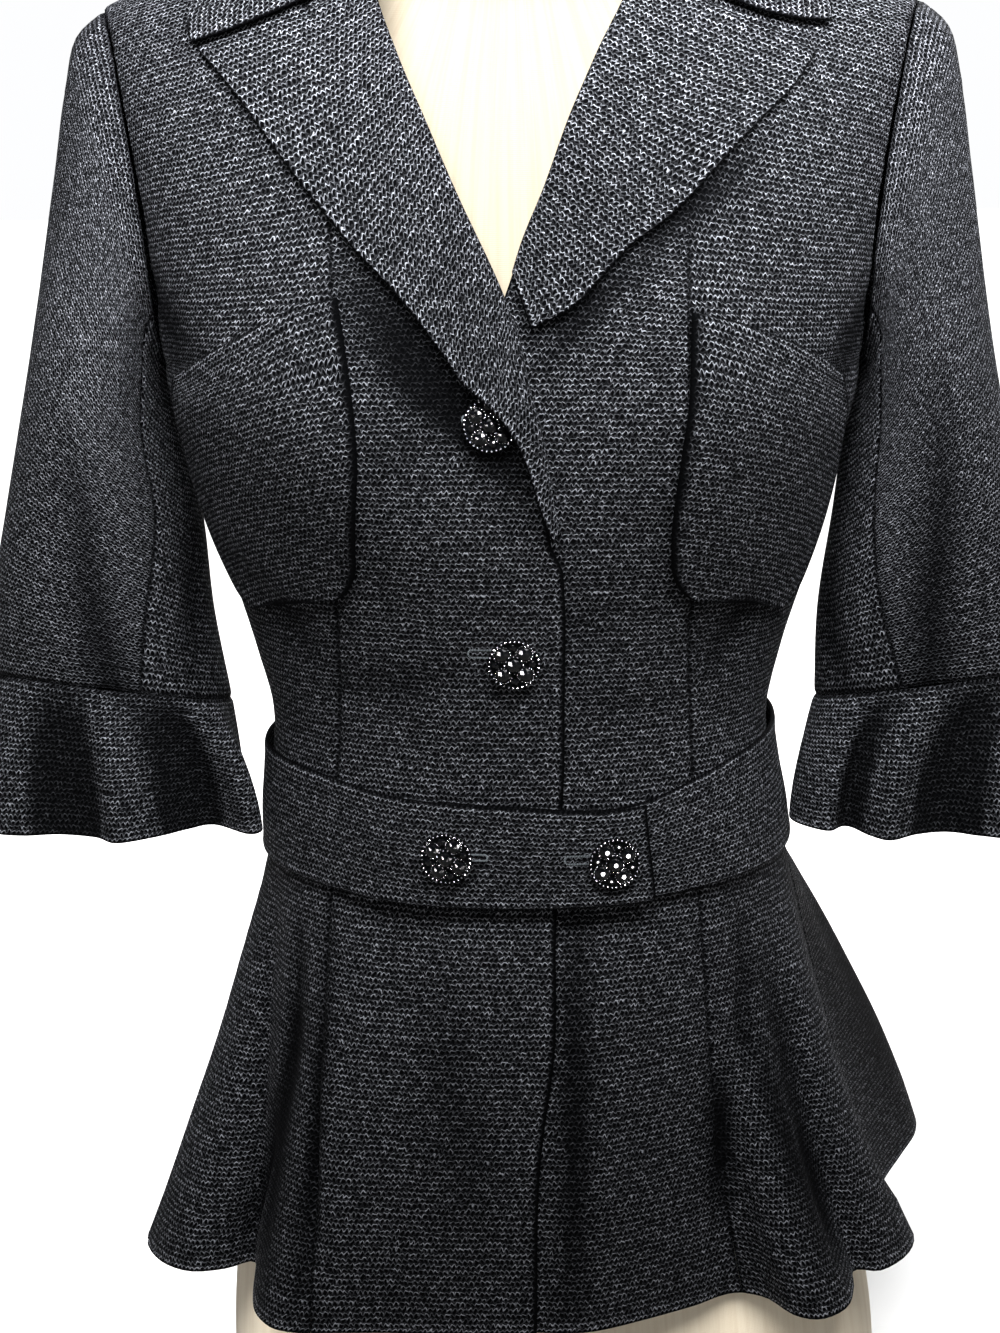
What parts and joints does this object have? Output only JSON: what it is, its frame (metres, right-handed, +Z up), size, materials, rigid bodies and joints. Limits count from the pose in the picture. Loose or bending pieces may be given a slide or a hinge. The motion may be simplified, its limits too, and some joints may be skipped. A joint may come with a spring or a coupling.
{
  "type": "peplum jacket on dress form",
  "caption": "Fitted peplum jacket with notched lapels, curved patch pockets, elbow sleeves with flounces and a buttoned belt, standing on a limbless dress form",
  "frame": {"origin": "middle of the flat underside of the dress form, on the floor", "axes": "+Z up; -Y towards the front of the jacket; +X towards the wearer's left"},
  "size_m": [0.546, 0.3005, 0.8494],
  "materials": {
    "black_woven_cloth": "matt black crepe weave with a faint cool sheen",
    "black_stones": "glossy faceted black",
    "natural_linen": "plain natural linen",
    "dark_wood": "satin turned wood"
  },
  "bodies": {
    "root": {"front_right": "black_woven_cloth", "front_left": "black_woven_cloth", "side_front_right": "black_woven_cloth", "side_front_left": "black_woven_cloth", "side_back_right": "black_woven_cloth", "side_back_left": "black_woven_cloth", "back_right": "black_woven_cloth", "back_left": "black_woven_cloth", "lapel_right": "black_woven_cloth", "lapel_left": "black_woven_cloth", "collar": "black_woven_cloth", "pocket_right": "black_woven_cloth", "pocket_left": "black_woven_cloth", "sleeve_upper_right": "black_woven_cloth", "sleeve_upper_left": "black_woven_cloth", "sleeve_under_right": "black_woven_cloth", "sleeve_under_left": "black_woven_cloth", "flounce_right": "black_woven_cloth", "flounce_left": "black_woven_cloth", "belt_tab_band": "black_woven_cloth", "belt_under_band": "black_woven_cloth", "button_front_top": "black_stones", "button_front_middle": "black_stones", "button_belt_right": "black_stones", "button_belt_left": "black_stones", "dress_form": "natural_linen", "neck_cap": "dark_wood"}
  },
  "joints": []
}
